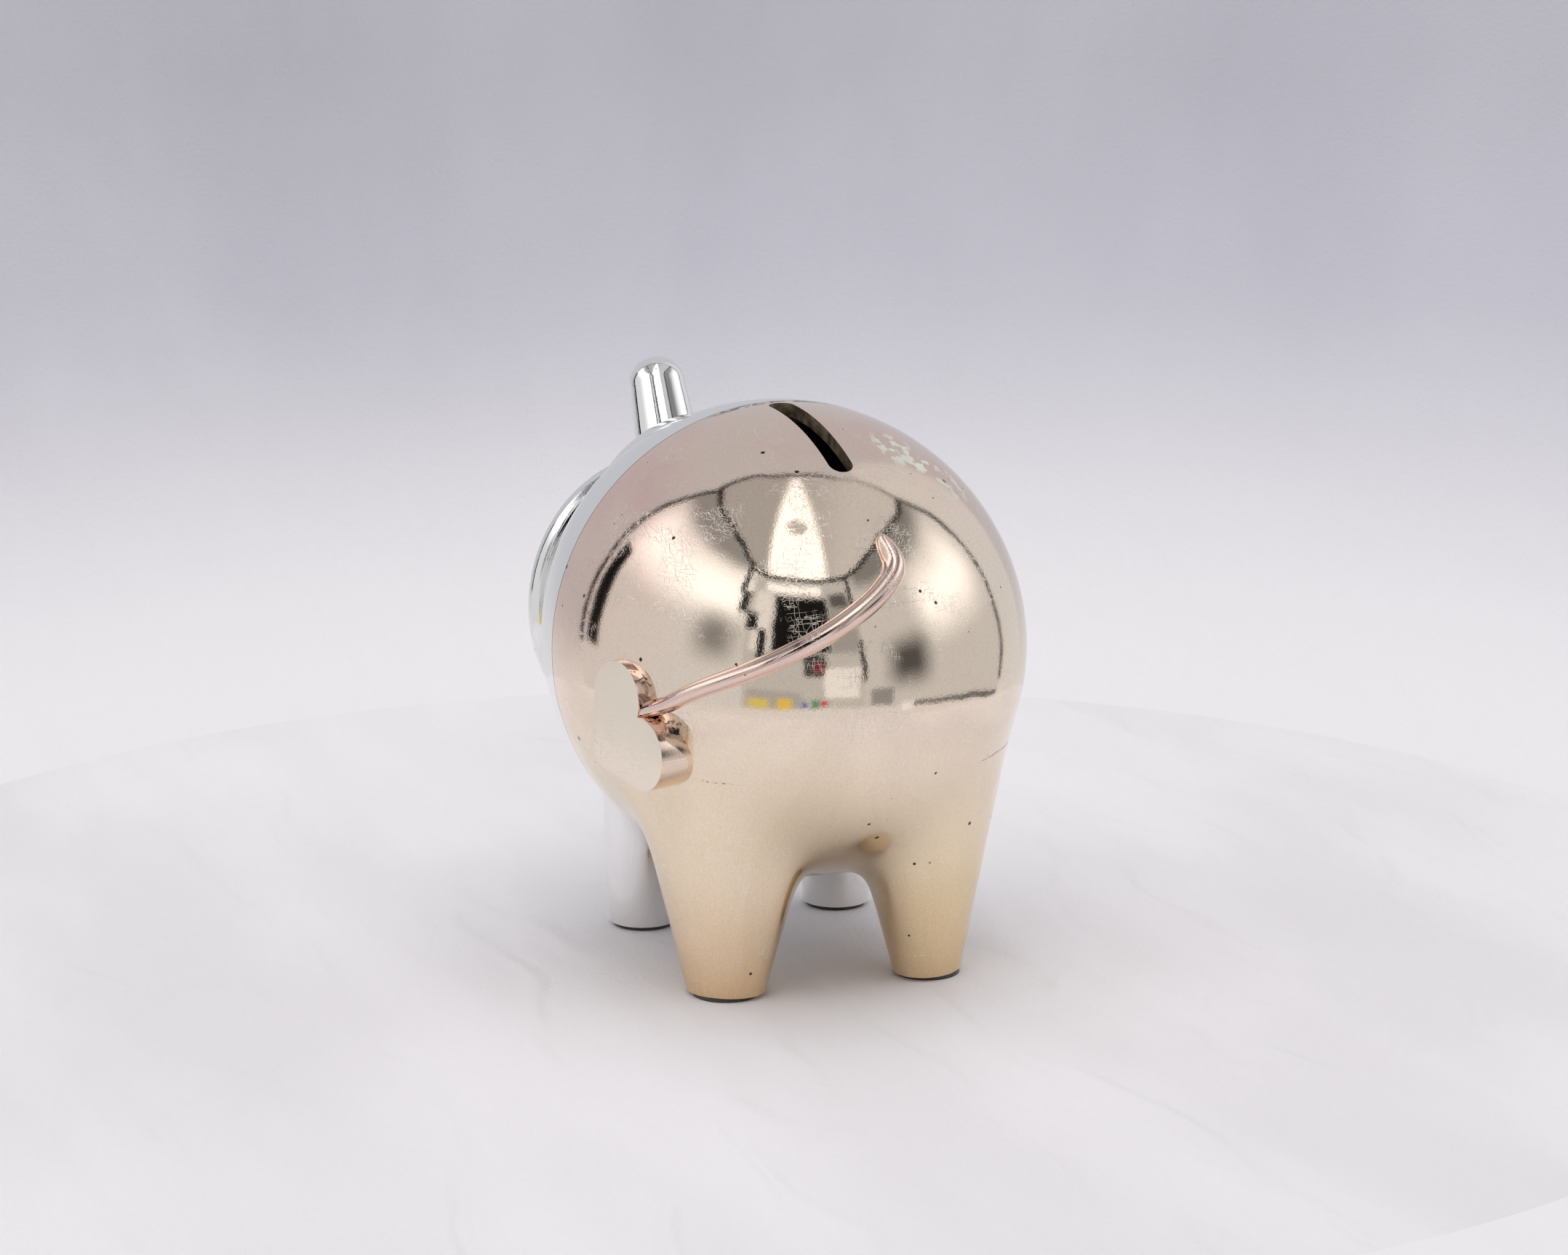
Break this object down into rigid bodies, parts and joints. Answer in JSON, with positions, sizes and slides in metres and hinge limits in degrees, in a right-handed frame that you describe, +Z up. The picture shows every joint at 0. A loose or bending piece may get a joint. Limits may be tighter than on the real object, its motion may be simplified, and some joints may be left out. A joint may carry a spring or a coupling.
{
  "type": "piggy bank",
  "caption": "Round silver-plated elephant money box with a coin slot on its back, a raised trunk, a tail with a heart tassel and a belly stopper.",
  "frame": {"origin": "on the ground, below the middle of the whole animal", "axes": "+X towards the head and trunk, +Y to the animal's left, +Z up"},
  "size_m": [0.1332, 0.09, 0.1063],
  "materials": {
    "warm_plate": "polished silver plate, tarnished to champagne",
    "bright_plate": "polished silver plate",
    "eye_enamel": "gloss black enamel",
    "bare_metal": "unplated metal",
    "black_rubber": "matte black rubber",
    "dark_felt": "pressed felt"
  },
  "bodies": {
    "animal": {"rear_shell": "warm_plate", "front_shell": "bright_plate", "joint_ring": "bare_metal", "rear_left_leg": "warm_plate", "rear_right_leg": "warm_plate", "front_left_leg": "bright_plate", "front_right_leg": "bright_plate", "rear_left_pad": "dark_felt", "rear_right_pad": "dark_felt", "front_left_pad": "dark_felt", "front_right_pad": "dark_felt", "left_ear": "bright_plate", "right_ear": "bright_plate", "left_eye": "eye_enamel", "right_eye": "eye_enamel", "trunk": "bright_plate", "tail": "warm_plate", "heart_tassel": "warm_plate", "stopper_seat": "bare_metal"},
    "stopper": {"stopper": "black_rubber"}
  },
  "joints": [
    {"name": "stopper_pull", "type": "slide", "parent": "animal", "child": "stopper", "axis": [0, 0, -1], "range_m": [0, 0.014]}
  ]
}
